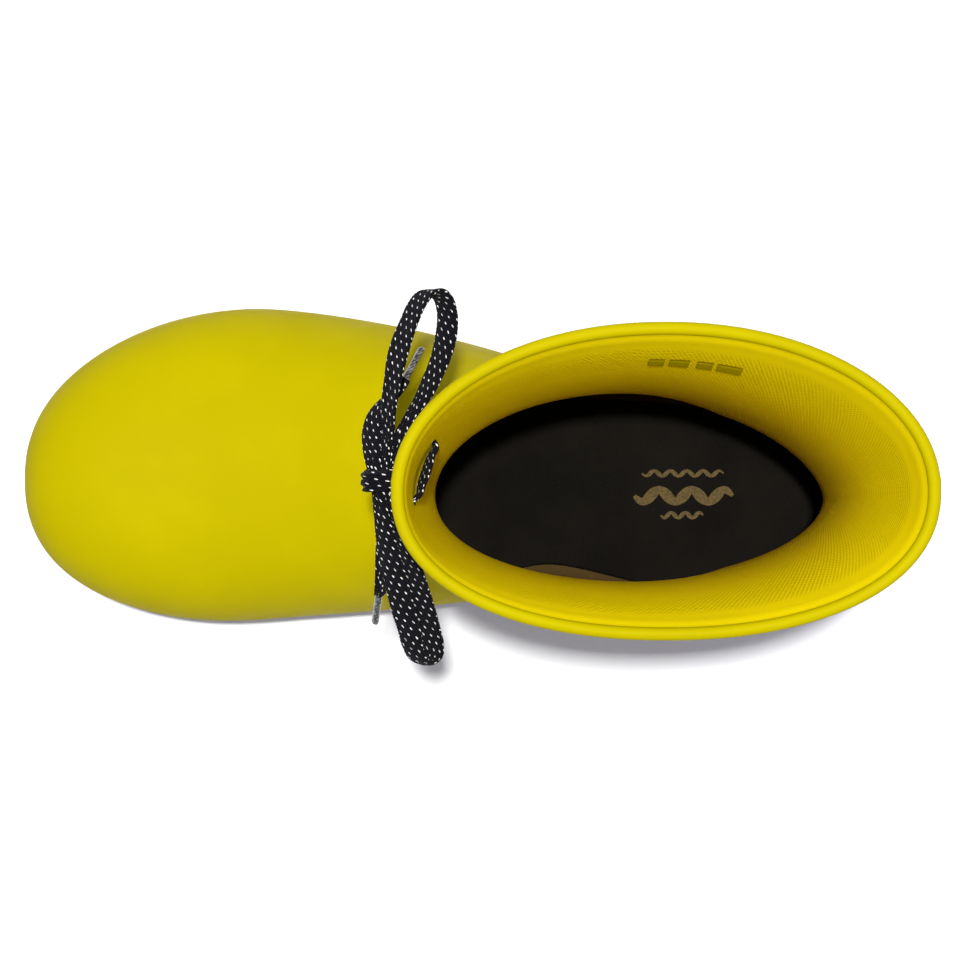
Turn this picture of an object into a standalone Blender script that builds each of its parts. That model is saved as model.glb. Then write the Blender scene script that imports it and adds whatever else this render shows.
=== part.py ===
"""A moulded foam deck boot for the right foot: +X towards the toe, +Y the inner side of the foot, +Z up.

One closed foam shell makes the vamp, the shaft, the rolled rim and the midsole. Two grooved rubber pads are
bonded under it, a two-layer footbed lies in it, and a flat braided lace runs through two slots in the front
of the shaft and is tied in a bow. Lengths are in millimetres until a mesh is made.
"""

import math

import bmesh
import bpy
import numpy as np

MM = 0.001
LEAST = 0.003  # keeps divisions clear of zero
GAP = 0.3  # between solids that touch on the real boot

# Plan of the foot part: a toe and a back end as superellipses, joined by a width that follows keys.
TOE_X = 141.6
BALL_X = 57.0
TOE_POWER = 2.3
FOOT_END_X = -100.0
WAIST_X = -45.0
FOOT_HALF_WIDTH = [(-100, 35), (-45, 37), (-15, 43), (20, 49), (57, 53), (142, 53)]
FOOT_CENTRE_Y = [(-137, 13), (-110, 12), (-55, 8), (-13, 3.3), (28, 0.7), (55, 0), (90, 1.5), (142, 5.5)]

# Side view of the foot part.
WIDEST_Z = 24.0
RIDGE_Z = [(-78, 90), (-20, 92), (0, 88), (20, 79), (42, 70.5), (70, 64), (95, 60), (142, 58)]
TOE_DOME_X = 84.0
TOE_DOME_POWER = 2.5
UNDERCUT = 42.0
DOME_POWER = 2.25
SPRING_X = 78.0
SPRING_RISE = 7.0

# The shaft, by height.
RIM_Z = 195.0
SHAFT_FRONT_X = [(0, -40), (30, -32), (60, -16), (84, -2), (104, 3.6), (130, 7.2), (160, 9.6), (195, 11.1)]
SHAFT_BACK_X = [(0, -132), (12, -135.4), (35, -136.4), (58, -132), (80, -127.8), (100, -128.2)]
SHAFT_BACK_X += [(130, -130.8), (165, -136), (195, -140.8)]
SHAFT_HALF_WIDTH = [(0, 32.6), (14, 35.2), (30, 36.4), (55, 34.8), (75, 33), (100, 33.4), (130, 34.8)]
SHAFT_HALF_WIDTH += [(155, 36.8), (175, 39.6), (195, 44.1)]
SHAFT_CENTRE_Y = [(0, 10.4), (35, 10.2), (75, 9), (100, 8), (150, 6.8), (195, 6.1)]
SHAFT_POWER = [(0, 2.35), (60, 2.2), (100, 2.0), (150, 2.05), (195, 2.12)]
SHAFT_BACK_POWER = [(0, 2.35), (35, 2.15), (75, 1.76), (100, 1.8), (130, 1.9), (165, 2.0), (195, 2.12)]
SHAFT_END_SWING = 3.0  # how far both ends of a shaft section lie towards the inner side
BEAD_RISE = 0.7
BEAD_HEIGHT = 4.0

# How softly the two bodies join: little low down, much at the instep.
JOIN_LOW, JOIN_HIGH = 20.0, 34.0
JOIN_FROM_Z, JOIN_TO_Z = 45.0, 80.0

# Walls, floor and sole.
SOLE_Z = 4.3
ARCH_RELIEF = 3.0
ARCH_X = (-58.0, -10.0)
ARCH_RAMP = 8.0
SOLE_CORNER = 6.0
WALL = [(0, 6.0), (30, 5.0), (80, 4.4), (130, 3.9), (195, 3.7)]
TOE_WALL_EXTRA = 1.2
FLOOR_Z = [(-137, 17.5), (-60, 16.5), (10, 13.5), (60, 12.5), (142, 12.5)]
CAVITY_CORNER = 9.0

# Rings of the shell: upright across the foot, then a fan about the pivot, then level up the shaft.
PIVOT_X, PIVOT_Z = 27.0, 110.0
RING_POINTS = 44
RING_COUNTS = (13, 22, 7)
BEAD_RINGS = 4
FAN_CENTRE = [(0, 66), (0.3, 88), (0.6, 108), (0.8, 104), (1, 92)]
UPRIGHT_ASPECT, LEVEL_ASPECT = 0.62, 1.8  # length over width of the angle spacing in a ring
LONGEST_RAY = 260.0
DENSE_POINTS = 160
TURN_SHARE = 0.8  # how much the bends draw the points to them

# Footbed: a foam layer and its cloth cover.
CUSHION_Z = (0.9, 4.2)
COVER_Z = (4.5, 5.5)
FOOTBED_CLEARANCE = 1.5
FOOTBED_STATIONS = 48
FOOTBED_GAP, GAP_X, GAP_REACH = 3.8, -43.0, 27.0  # the footbed stops short of the wall beside the arch

# Rubber pads.
PAD_INSET = 4.6
HEEL_PAD_FRONT_X = -62.0
FOREFOOT_PAD_BACK_X = -4.0
HEEL_GROOVES, FOREFOOT_GROOVES = 6, 11
GROOVE_WIDTH, GROOVE_DEPTH, GROOVE_DRAFT = 2.2, 2.0, 0.5

# The lace and its slots.
SLOT_Z = 161.0
SLOT_Y = (-5.6, 11.8)
SLOT_WIDTH, SLOT_HEIGHT = 3.4, 9.8
LACE_WIDTH, LACE_THICKNESS = 7.6, 1.7
KNOT_CENTRE = (15.9, 3.2, 161.0)
KNOT_SIZE = (8.6, 14.0, 12.0)
LOOP_LEAN = (-0.74, 0, 0.67)  # the width of both loops leans back over the shaft
AGLET_RADIUS = 1.9
AGLET_LENGTH = 14.0
AGLET_BORE = 0.45

# --------------------------------------------------------------------------- curves and distances


def follow(keys, at):
    """The smooth curve through (place, value) keys, level past both ends."""
    place, value = np.array(keys, float).T
    slope = np.gradient(value, place)
    at = np.clip(at, place[0], place[-1])
    i = np.clip(np.searchsorted(place, at) - 1, 0, len(place) - 2)
    step = place[i + 1] - place[i]
    t = (at - place[i]) / step
    start = value[i] * (1 + 2 * t) * (1 - t) ** 2 + slope[i] * step * t * (1 - t) ** 2
    end = value[i + 1] * t * t * (3 - 2 * t) + slope[i + 1] * step * t * t * (t - 1)
    return start + end


def ease(low, high, at):
    t = np.clip((at - low) / (high - low), 0, 1)
    return t * t * (3 - 2 * t)


def join(a, b, soft):
    """The larger of two distances, rounded over where they are nearly equal."""
    near = np.maximum(soft - np.abs(a - b), 0) / soft
    return np.maximum(a, b) + near * near * soft / 4


def meet(a, b, soft):
    return -join(-a, -b, soft)


def superellipse(across, along, half_across, half_along, power):
    """How far a point is inside a superellipse, measured along the ray from its centre."""
    across, along = across + LEAST**2, along + LEAST**2
    norm = (np.abs(across / half_across) ** power + np.abs(along / half_along) ** power) ** (1 / power)
    reach = np.hypot(across, along)
    return reach / norm - reach


def round_end(share, power):
    """1 at share 0, falling to 0 at share 1 as a superellipse does."""
    return np.maximum(1 - np.clip(share, 0, 1) ** power, 0) ** (1 / power)


def toe_spring(x):
    """How far the sole is raised off the ground towards the toe."""
    return SPRING_RISE * (np.maximum(x - SPRING_X, 0) / (TOE_X - SPRING_X)) ** 2


def foot_part(x, y, z, inset):
    toe = round_end((x - BALL_X) / (TOE_X - inset - BALL_X), TOE_POWER)
    back = round_end((WAIST_X - x) / (WAIST_X - FOOT_END_X - inset), 2)
    half_width = (follow(FOOT_HALF_WIDTH, x) - inset) * toe * back
    dome = round_end((x - TOE_DOME_X) / (TOE_X - inset - TOE_DOME_X), TOE_DOME_POWER)
    up = z - toe_spring(x) - WIDEST_Z
    height = (np.where(up > 0, follow(RIDGE_Z, x) - WIDEST_Z, UNDERCUT) - inset) * dome
    inside = superellipse(y - follow(FOOT_CENTRE_Y, x), up, half_width + LEAST, height + LEAST, DOME_POWER)
    return np.minimum(inside, np.minimum(TOE_X - inset - x, x - FOOT_END_X - inset))


def shaft_part(x, y, z, inset):
    front, back = follow(SHAFT_FRONT_X, z), follow(SHAFT_BACK_X, z)
    half_length, forward = (front - back) / 2 - inset, x - (front + back) / 2
    half_width = follow(SHAFT_HALF_WIDTH, z) - inset
    centre_y = follow(SHAFT_CENTRE_Y, z) + SHAFT_END_SWING * np.clip(forward / half_length, -1, 1) ** 2
    power = np.where(forward > 0, follow(SHAFT_POWER, z), follow(SHAFT_BACK_POWER, z))
    return superellipse(y - centre_y, forward, half_width, half_length, power)


def body(x, y, z, inset=0.0):
    """Distance inside the outer form, or inside the form that lies an inset under it."""
    soft = JOIN_LOW + (JOIN_HIGH - JOIN_LOW) * ease(JOIN_FROM_Z, JOIN_TO_Z, z)
    inset = inset - BEAD_RISE * np.exp(-(((z - RIM_Z) / BEAD_HEIGHT) ** 2))
    return join(foot_part(x, y, z, inset), shaft_part(x, y, z, inset), soft)


def sole_height(x):
    arch = ease(ARCH_X[0] - ARCH_RAMP, ARCH_X[0], x) * (1 - ease(ARCH_X[1], ARCH_X[1] + ARCH_RAMP, x))
    return SOLE_Z + ARCH_RELIEF * arch + toe_spring(x)


def outer_skin(x, y, z):
    return meet(body(x, y, z), z - sole_height(x), SOLE_CORNER)


def floor_height(x):
    return follow(FLOOR_Z, x) + toe_spring(x)


def cavity(x, y, z, clearance=0.0):
    """Distance inside the inner skin, kept a clearance from its walls."""
    wall = follow(WALL, z) + TOE_WALL_EXTRA * ease(BALL_X, TOE_X, x)
    return meet(body(x, y, z, wall + clearance), z - floor_height(x), CAVITY_CORNER)


def edge_of(room, start, direction):
    """The points where rays from start leave the room, by halving."""
    inside = np.zeros(direction.shape[:-1])
    outside = np.full(direction.shape[:-1], LONGEST_RAY)
    for _ in range(34):
        middle = (inside + outside) / 2
        point = start + direction * middle[..., None]
        within = room(point[..., 0], point[..., 1], point[..., 2]) > 0
        inside, outside = np.where(within, middle, inside), np.where(within, outside, middle)
    return start + direction * inside[..., None]


def end_along_x(room, level, inside, outside):
    """Where the room ends along its centre line, from inside to outside, at a height given by level(x)."""
    for _ in range(34):
        middle = (inside + outside) / 2
        within = room(middle, follow(FOOT_CENTRE_Y, middle), level(middle)) > 0
        inside, outside = (middle, outside) if within else (inside, middle)
    return inside


def side_to_side(room, x, z):
    """The left and right edges of the room at places x and heights z."""
    start = np.stack([x, follow(FOOT_CENTRE_Y, x), z], -1)
    across = np.broadcast_to((0.0, 1.0, 0.0), start.shape)
    return edge_of(room, start, -across), edge_of(room, start, across)


# --------------------------------------------------------------------------- the shell's rings


def widest_level(x):
    return WIDEST_Z + toe_spring(x)


def spread(line, count):
    """Places along a dense line of points that share out its length and its turning evenly."""
    step = np.diff(line, axis=0)
    length = np.linalg.norm(step, axis=1)
    way = step / length[:, None]
    turn = np.arccos(np.clip((way[1:] * way[:-1]).sum(1), -1, 1))
    turn = np.append(turn, 0) + np.append(0, turn)
    share = length / length.sum() + TURN_SHARE * turn / turn.sum()
    measure = np.append(0, np.cumsum(share))
    return np.interp(np.linspace(0, measure[-1], count), measure, np.linspace(0, 1, len(line)))


def fan_frames(turns):
    """Ring frames at shares of the quarter turn about the pivot."""
    angle = math.pi / 2 * turns
    reach = follow(FAN_CENTRE, turns)
    x, z = PIVOT_X - reach * np.sin(angle), PIVOT_Z - reach * np.cos(angle)
    aspect = UPRIGHT_ASPECT + (LEVEL_ASPECT - UPRIGHT_ASPECT) * turns
    blend = ease(0.0, 0.3, turns)
    y = follow(FOOT_CENTRE_Y, x) * (1 - blend) + follow(SHAFT_CENTRE_Y, z) * blend
    return np.stack([x, y, z, np.sin(angle), np.cos(angle), aspect], -1)


def ring_frames(room, tip_x, counts, top_z):
    """Centre, forward axis (x and z) and aspect of each ring, from the toe's tip to the top of the shaft."""
    foot_rings, fan_rings, shaft_rings = counts
    start_z = PIVOT_Z - FAN_CENTRE[0][1]
    from_tip = ((np.arange(foot_rings) + 0.35) / (foot_rings + 0.35)) ** 2
    x = tip_x + (PIVOT_X - tip_x) * from_tip
    z = widest_level(tip_x) + (start_z - widest_level(tip_x)) * from_tip
    foot = [x, follow(FOOT_CENTRE_Y, x), z, 0 * z, 1 + 0 * z, UPRIGHT_ASPECT + 0 * z]
    dense = fan_frames(np.linspace(0, 1, DENSE_POINTS))
    back = edge_of(room, dense[:, :3], np.stack([-dense[:, 3], 0 * dense[:, 3], -dense[:, 4]], -1))
    fan = fan_frames(spread(back, fan_rings + 1)[:-1])
    z = np.linspace(PIVOT_Z, top_z, shaft_rings + 1)
    x = (follow(SHAFT_FRONT_X, z) + follow(SHAFT_BACK_X, z)) / 2
    shaft = [x, follow(SHAFT_CENTRE_Y, z), z, 1 + 0 * z, 0 * z, LEVEL_ASPECT + 0 * z]
    return np.concatenate([np.stack(foot, -1), fan, np.stack(shaft, -1)])


def rays_of(frames, turn):
    """Directions in each ring's plane at the angles given for each ring, from its forward axis round."""
    forward = frames[:, 5:6] * np.cos(turn)
    direction = np.stack([frames[:, 3:4] * forward, np.sin(turn), frames[:, 4:5] * forward], -1)
    return direction / np.linalg.norm(direction, axis=-1, keepdims=True)


def rings_of(room, tip_x, counts, points, top_z):
    """Closed rings of points on a skin, toe first. Point 0 is on the ridge or the shaft's front."""
    frames = ring_frames(room, tip_x, counts, top_z)
    half = np.broadcast_to(np.linspace(0, math.pi, DENSE_POINTS), (len(frames), DENSE_POINTS))
    turns = []
    for side in (0, 1):
        dense = edge_of(room, frames[:, None, :3], rays_of(frames, half + side * math.pi))
        turns.append(np.array([(side + spread(line, points // 2 + 1)[:-1]) * math.pi for line in dense]))
    return edge_of(room, frames[:, None, :3], rays_of(frames, np.concatenate(turns, 1)))


def rim_rings(outer, inner, count):
    """The rolled rim: half round from the outer skin over to the inner one."""
    middle, half = (outer + inner) / 2, (outer - inner) / 2
    up = np.array((0, 0, np.linalg.norm(half, axis=-1).mean()))
    angles = [math.pi * i / count for i in range(1, count)]
    return np.array([middle + half * math.cos(a) + up * math.sin(a) for a in angles])


def shell_rings(counts, points, bead_rings):
    """All rings of the shell's one closed skin, and its two end points."""
    tips = [end_along_x(room, widest_level, BALL_X, TOE_X + 5) for room in (outer_skin, cavity)]
    top = RIM_Z - follow(WALL, RIM_Z) / 2
    outer, inner = (rings_of(room, tip, counts, points, top) for room, tip in zip((outer_skin, cavity), tips))
    rings = np.concatenate([outer, rim_rings(outer[-1], inner[-1], bead_rings), inner[::-1]])
    return rings, [(tip, follow(FOOT_CENTRE_Y, tip), widest_level(tip)) for tip in tips]


# --------------------------------------------------------------------------- meshes


def make_material(name, color, roughness):
    material = bpy.data.materials.new(name)
    material.use_nodes = True
    shader = material.node_tree.nodes["Principled BSDF"]
    shader.inputs["Base Color"].default_value = (*color, 1)
    shader.inputs["Roughness"].default_value = roughness
    shader.inputs["Metallic"].default_value = 0.0
    return material


def make_piece(name, points, faces, material):
    """One object from points in millimetres, its faces turned outwards."""
    mesh = bpy.data.meshes.new(name)
    mesh.from_pydata([[float(c) * MM for c in p] for p in points], [], faces)
    work = bmesh.new()
    work.from_mesh(mesh)
    bmesh.ops.recalc_face_normals(work, faces=work.faces)
    work.to_mesh(mesh)
    work.free()
    mesh.materials.append(material)
    mesh.shade_smooth()
    mesh.set_sharp_from_angle(angle=math.radians(40))
    piece = bpy.data.objects.new(name, mesh)
    bpy.context.scene.collection.objects.link(piece)
    return piece


def skin_faces(rings, points, ends=()):
    """Quads between neighbouring rings; each end is a fan to a point if one is given, else one flat face."""
    faces = []
    for r in range(rings - 1):
        for j in range(points):
            k = (j + 1) % points
            faces.append((r * points + j, r * points + k, (r + 1) * points + k, (r + 1) * points + j))
    for i, base in enumerate((0, (rings - 1) * points)):
        if ends:
            faces += [(ends[i], base + j, base + (j + 1) % points) for j in range(points)]
        else:
            faces.append([base + j for j in range(points)])
    return faces


def cut(piece, cutter):
    """Takes the cutter's shape out of the piece; the cutter stays as a hidden helper."""
    cutter.hide_render = True
    cutter.display_type = "WIRE"
    boolean = piece.modifiers.new("cut_" + cutter.name, "BOOLEAN")
    boolean.operation = "DIFFERENCE"
    boolean.solver = "EXACT"
    boolean.object = cutter


def slot_cutter(name, y, material):
    """An upright slot with round ends, through the front of the shaft."""
    radius, straight = SLOT_WIDTH / 2, (SLOT_HEIGHT - SLOT_WIDTH) / 2
    outline = []
    for side in (1, -1):
        for i in range(7):
            angle = math.pi * i / 6 + (0 if side > 0 else math.pi)
            level = SLOT_Z + side * straight + radius * math.sin(angle)
            outline.append((y + radius * math.cos(angle), level))
    front = follow(SHAFT_FRONT_X, SLOT_Z)
    points = [(x, *p) for x in (front - 24, front + 14) for p in outline]
    return make_piece(name, points, skin_faces(2, len(outline)), material)


def build_shell(material):
    rings, ends = shell_rings(RING_COUNTS, RING_POINTS, BEAD_RINGS)
    points = [*rings.reshape(-1, 3), *ends]
    faces = skin_faces(len(rings), RING_POINTS, (len(points) - 2, len(points) - 1))
    shell = make_piece("boot_shell", points, faces, material)
    for side, y in zip(("outer_side", "inner_side"), SLOT_Y):
        cut(shell, slot_cutter("slot_" + side, y, material))


def footbed_gap(x):
    """How far the footbed stops short of the inner side's wall, at a place along the foot."""
    return FOOTBED_GAP * np.clip(1 - ((x - GAP_X) / GAP_REACH) ** 2, 0, 1)


def build_footbed_layer(name, levels, material):
    """A layer that lies on the floor of the cavity, between two heights above it."""

    def room(x, y, z):
        return cavity(x, y, z, FOOTBED_CLEARANCE)

    share = (1 - np.cos(np.pi * (np.arange(FOOTBED_STATIONS) + 0.2) / (FOOTBED_STATIONS - 0.6))) / 2
    corners = []
    for rise in levels:
        def level(x, rise=rise):
            return floor_height(x) + rise

        first = end_along_x(room, level, 0.0, -TOE_X)
        last = end_along_x(room, level, 0.0, TOE_X)
        x = first + (last - first) * share
        left, right = side_to_side(room, x, level(x))
        right[:, 1] -= footbed_gap(x)
        corners.append((left, right))
    (low_left, low_right), (high_left, high_right) = corners
    points = np.stack([low_left, low_right, high_right, high_left], 1).reshape(-1, 3)
    make_piece(name, points, skin_faces(FOOTBED_STATIONS, 4), material)


def pad_stations(first, last, grooves, round_first):
    """Places along a pad, each with how deep it is cut there (0 or 1)."""
    pitch = (last - first) / (grooves + 1)
    half = GROOVE_WIDTH / 2
    stations = []
    for i in range(grooves + 1):
        start = first + pitch * i + (half if i else 0)
        end = first + pitch * (i + 1) - (half if i < grooves else 0)
        shares = np.linspace(0, 1, 4)
        if i == (0 if round_first else grooves):
            shares = np.linspace(0, 1, 8) ** 2 if round_first else 1 - np.linspace(1, 0, 8) ** 2
        stations += [(start + (end - start) * share, 0) for share in shares]
        if i < grooves:
            stations += [(end + GROOVE_DRAFT, 1), (end + GROOVE_WIDTH - GROOVE_DRAFT, 1)]
    return np.array(stations).T


def build_pad(name, straight_x, tip_x, grooves, material):
    """A rubber pad under the sole, straight at one end and round at the tip, with grooves across it."""

    def room(x, y, z):
        return body(x, y, z, PAD_INSET)

    tip = end_along_x(room, sole_height, straight_x, tip_x)
    x, cut_share = pad_stations(min(tip, straight_x), max(tip, straight_x), grooves, tip < straight_x)
    left, right = side_to_side(room, x, SOLE_Z + toe_spring(x))
    low, high = toe_spring(x) + GROOVE_DEPTH * cut_share, toe_spring(x) + SOLE_Z - GAP
    corners = [(left, low), (right, low), (right, high), (left, high)]
    points = np.stack([np.stack([x, side[:, 1], level], -1) for side, level in corners], 1)
    make_piece(name, points.reshape(-1, 3), skin_faces(len(x), 4), material)


# --------------------------------------------------------------------------- the lace


def smooth_path(keys, steps):
    """A curve through key points, with the same number of steps between neighbours."""
    keys = np.array(keys, float)
    place = np.arange(len(keys), dtype=float)
    at = np.linspace(0, len(keys) - 1, (len(keys) - 1) * steps + 1)
    return np.stack([follow(list(zip(place, keys[:, c])), at) for c in range(3)], -1)


def build_ribbon(name, keys, flat_side, material, steps=5):
    """A flat lace along a path; flat_side gives the direction of its width at the first and last point."""
    path = smooth_path(keys, steps)
    start, end = (np.array(side, float) for side in flat_side)
    along = np.gradient(path, axis=0)
    along /= np.linalg.norm(along, axis=1, keepdims=True)
    half_width, half_thick = LACE_WIDTH / 2, LACE_THICKNESS / 2
    outline = [(1, 0), (0.88, 0.75), (0.5, 1), (-0.5, 1), (-0.88, 0.75), (-1, 0)]
    outline += [(-w, -t) for w, t in outline[1:5]]
    points = []
    for i, centre in enumerate(path):
        share = i / (len(path) - 1)
        wide = start * (1 - share) + end * share
        wide -= along[i] * wide.dot(along[i])
        wide /= np.linalg.norm(wide)
        thick = np.cross(along[i], wide)
        points += [centre + wide * half_width * w + thick * half_thick * t for w, t in outline]
    make_piece(name, points, skin_faces(len(path), len(outline)), material)


def build_inside_run(material):
    """The lace's run behind the wall, with both ends through the slots."""
    y0, y1 = SLOT_Y
    fronts = [shaft_wall_x(outer_skin, y) for y in SLOT_Y]
    backs = [shaft_wall_x(cavity, y) for y in SLOT_Y]
    bend = LACE_THICKNESS / 2 + 1.2
    run = [b - LACE_THICKNESS / 2 - GAP - 0.5 for b in backs]
    keys = [(fronts[0] + 0.6, y0), (backs[0] + 0.8, y0), (run[0] + 0.4, y0 + 0.4), (run[0] + 0.1, y0 + bend)]
    keys += [((run[0] + run[1]) / 2, (y0 + y1) / 2), (run[1] - 0.9, y1 - bend), (run[1] + 0.2, y1 - 0.4)]
    keys += [(backs[1] + 0.8, y1), (fronts[1] + 0.6, y1)]
    build_ribbon("lace_inside_run", [(x, y, SLOT_Z) for x, y in keys], ((0, 0, 1), (0, 0, 1)), material, 3)


def shaft_wall_x(room, y):
    """Where a skin meets the level of the slots at this y, on the front of the shaft."""
    start = np.array((follow(SHAFT_FRONT_X, SLOT_Z) - 30, y, SLOT_Z))
    return edge_of(room, start, np.array((1.0, 0.0, 0.0)))[0]


def build_knot(material):
    """The half knot and the bow's middle, as one pressed lump."""
    rings, points = 9, 16
    centre = np.array(KNOT_CENTRE)
    half = np.array(KNOT_SIZE) / 2
    grid = []
    for r in range(rings):
        polar = math.pi * (r + 0.5) / rings
        for j in range(points):
            turn = 2 * math.pi * j / points
            across = math.sin(polar)
            way = np.array((across * math.cos(turn), math.cos(polar), across * math.sin(turn)))
            way = np.sign(way) * np.abs(way) ** 0.8
            grid.append(centre + way * half)
    make_piece("lace_knot", grid, skin_faces(rings, points), material)


def build_aglet(name, start, way, material):
    """A round clear tip, solid, that continues a tail."""
    way = np.array(way, float) / np.linalg.norm(way)
    side = np.cross(way, (0, 0, 1))
    side /= np.linalg.norm(side)
    up = np.cross(side, way)
    profile = [(0, 0.7), (0.8, 1), (AGLET_LENGTH - 1, 1), (AGLET_LENGTH, AGLET_BORE)]
    points = []
    for along, radius in profile:
        for j in range(12):
            turn = 2 * math.pi * j / 12
            ring = side * math.cos(turn) + up * math.sin(turn)
            points.append(np.array(start) + way * along + ring * radius * AGLET_RADIUS)
    make_piece(name, points, skin_faces(len(profile), 12), material)


def build_lace(cloth, plastic):
    build_inside_run(cloth)
    build_knot(cloth)
    outer_loop = [(13.8, -5.2, 161.4), (13.6, -17.9, 163.4), (10.9, -29.6, 162.5), (7.2, -41, 159.5)]
    outer_loop += [(2.4, -49.1, 154.8), (-2.3, -47.6, 150.8), (-3.3, -39.6, 149.3), (-1.4, -29.9, 149.8)]
    outer_loop += [(3.2, -19.2, 152.6), (10.4, -7.4, 158)]
    build_ribbon("lace_loop_outer_side", outer_loop, (LOOP_LEAN, LOOP_LEAN), cloth, 4)
    inner_loop = [(16.4, 11.2, 162.6), (14.4, 23.2, 161.2), (11.4, 35.6, 158.2), (7.9, 49.7, 153.6)]
    inner_loop += [(4.4, 58.2, 148.4), (0.6, 58.2, 144.4), (0.9, 50.2, 144.2), (5, 38, 148.6)]
    inner_loop += [(9.1, 24.8, 154.8), (13.6, 12, 158.4)]
    build_ribbon("lace_loop_inner_side", inner_loop, (LOOP_LEAN, LOOP_LEAN), cloth, 4)
    outer_tail = [(18.6, -5, 155.2), (18.4, -9, 154.6), (17.2, -13.4, 153.8), (14.4, -17.2, 153)]
    outer_tail += [(11.6, -20, 152.2)]
    build_ribbon("lace_tail_outer_side", outer_tail, (LOOP_LEAN, LOOP_LEAN), cloth, 4)
    build_aglet("aglet_outer_side", (11, -20.6, 152), (-0.42, -0.8, -0.42), plastic)
    inner_tail = [(15.2, 11.4, 160.3), (15, 15, 159.2), (14.9, 20.5, 157.2), (15.2, 26, 155)]
    inner_tail += [(15.8, 31.5, 153), (16.2, 36.5, 151.2)]
    build_ribbon("lace_tail_inner_side", inner_tail, (LOOP_LEAN, LOOP_LEAN), cloth, 3)
    build_aglet("aglet_inner_side", (16.4, 37.3, 150.7), (0.13, 0.76, -0.63), plastic)


# --------------------------------------------------------------------------- build

for old in list(bpy.data.objects):
    bpy.data.objects.remove(old)

foam = make_material("yellow_foam", (0.62, 0.50, 0.01), 0.55)
rubber = make_material("navy_rubber", (0.012, 0.016, 0.035), 0.6)
footbed_foam = make_material("grey_footbed_foam", (0.06, 0.06, 0.06), 0.8)
footbed_cloth = make_material("black_cloth", (0.012, 0.011, 0.01), 0.85)
lace_cloth = make_material("navy_braid", (0.008, 0.012, 0.03), 0.75)
clear_plastic = make_material("clear_plastic", (0.45, 0.45, 0.46), 0.25)

build_shell(foam)
build_pad("outsole_heel", HEEL_PAD_FRONT_X, -TOE_X, HEEL_GROOVES, rubber)
build_pad("outsole_forefoot", FOREFOOT_PAD_BACK_X, TOE_X, FOREFOOT_GROOVES, rubber)
build_footbed_layer("insole_cushion", CUSHION_Z, footbed_foam)
build_footbed_layer("insole_cover", COVER_Z, footbed_cloth)
build_lace(lace_cloth, clear_plastic)
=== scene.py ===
import math

import bpy
import numpy as np
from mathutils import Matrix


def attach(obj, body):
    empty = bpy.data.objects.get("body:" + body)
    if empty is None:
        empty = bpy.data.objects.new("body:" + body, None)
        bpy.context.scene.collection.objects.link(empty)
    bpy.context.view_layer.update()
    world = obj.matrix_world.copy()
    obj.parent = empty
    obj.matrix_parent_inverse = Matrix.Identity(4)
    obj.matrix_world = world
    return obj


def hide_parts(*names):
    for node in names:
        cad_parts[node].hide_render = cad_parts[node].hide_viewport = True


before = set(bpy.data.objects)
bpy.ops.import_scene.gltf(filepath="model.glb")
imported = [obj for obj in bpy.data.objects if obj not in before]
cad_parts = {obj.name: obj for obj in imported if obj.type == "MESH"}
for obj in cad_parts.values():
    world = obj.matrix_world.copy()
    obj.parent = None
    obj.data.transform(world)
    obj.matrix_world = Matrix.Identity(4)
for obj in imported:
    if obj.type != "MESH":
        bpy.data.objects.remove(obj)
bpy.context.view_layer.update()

MM = 0.001
YARN_PITCH, YARN_SLANT = 0.62, 1.15  # of the lace's plait, in millimetres and as a slope

# ---------------------------------------- camera

CAMERA = (-0.01455, 0.0072, 0.9)
camera = bpy.data.objects.new("camera", bpy.data.cameras.new("camera"))
camera.data.sensor_width, camera.data.lens = 36.0, 94.6
camera.location = CAMERA
camera.rotation_euler = (0, 0, math.pi)
bpy.context.scene.collection.objects.link(camera)
bpy.context.scene.camera = camera
bpy.context.scene.view_settings.view_transform = "Standard"

# ---------------------------------------- curves, in millimetres


def follow(keys, at):
    """The smooth curve through (place, value) keys, level past both ends."""
    place, value = np.array(keys, float).T
    slope = np.gradient(value, place)
    at = np.clip(at, place[0], place[-1])
    i = np.clip(np.searchsorted(place, at) - 1, 0, len(place) - 2)
    step = place[i + 1] - place[i]
    t = (at - place[i]) / step
    start = value[i] * (1 + 2 * t) * (1 - t) ** 2 + slope[i] * step * t * (1 - t) ** 2
    end = value[i + 1] * t * t * (3 - 2 * t) + slope[i + 1] * step * t * t * (t - 1)
    return start + end


def ease(low, high, at):
    """0 up to the low place, 1 from the high one, smooth between."""
    t = np.clip((at - low) / (high - low), 0, 1)
    return t * t * (3 - 2 * t)


def quarter_round(share):
    """Height of a rounded edge, from 0 at its foot to 1 where it is level."""
    return np.sqrt(np.clip(1 - (1 - np.clip(share, 0, 1)) ** 2, 0, 1))


def unit(vectors):
    return vectors / np.linalg.norm(vectors, axis=-1, keepdims=True)


# ---------------------------------------- meshes


def grid_faces(rows, columns, wrap):
    """Quads of a grid as corner numbers (row, column), with the column left unwrapped."""
    last = columns if wrap else columns - 1
    return [
        ((r, j), (r, j + 1), (r + 1, j + 1), (r + 1, j)) for r in range(rows - 1) for j in range(last)
    ]


def grid_rim(rows, columns):
    """The border of a grid as corner numbers, once round from the first corner."""
    rim = [(r, 0) for r in range(rows)] + [(rows - 1, j) for j in range(1, columns)]
    rim += [(r, columns - 1) for r in range(rows - 2, -1, -1)]
    return rim + [(0, j) for j in range(columns - 2, 0, -1)]


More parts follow.
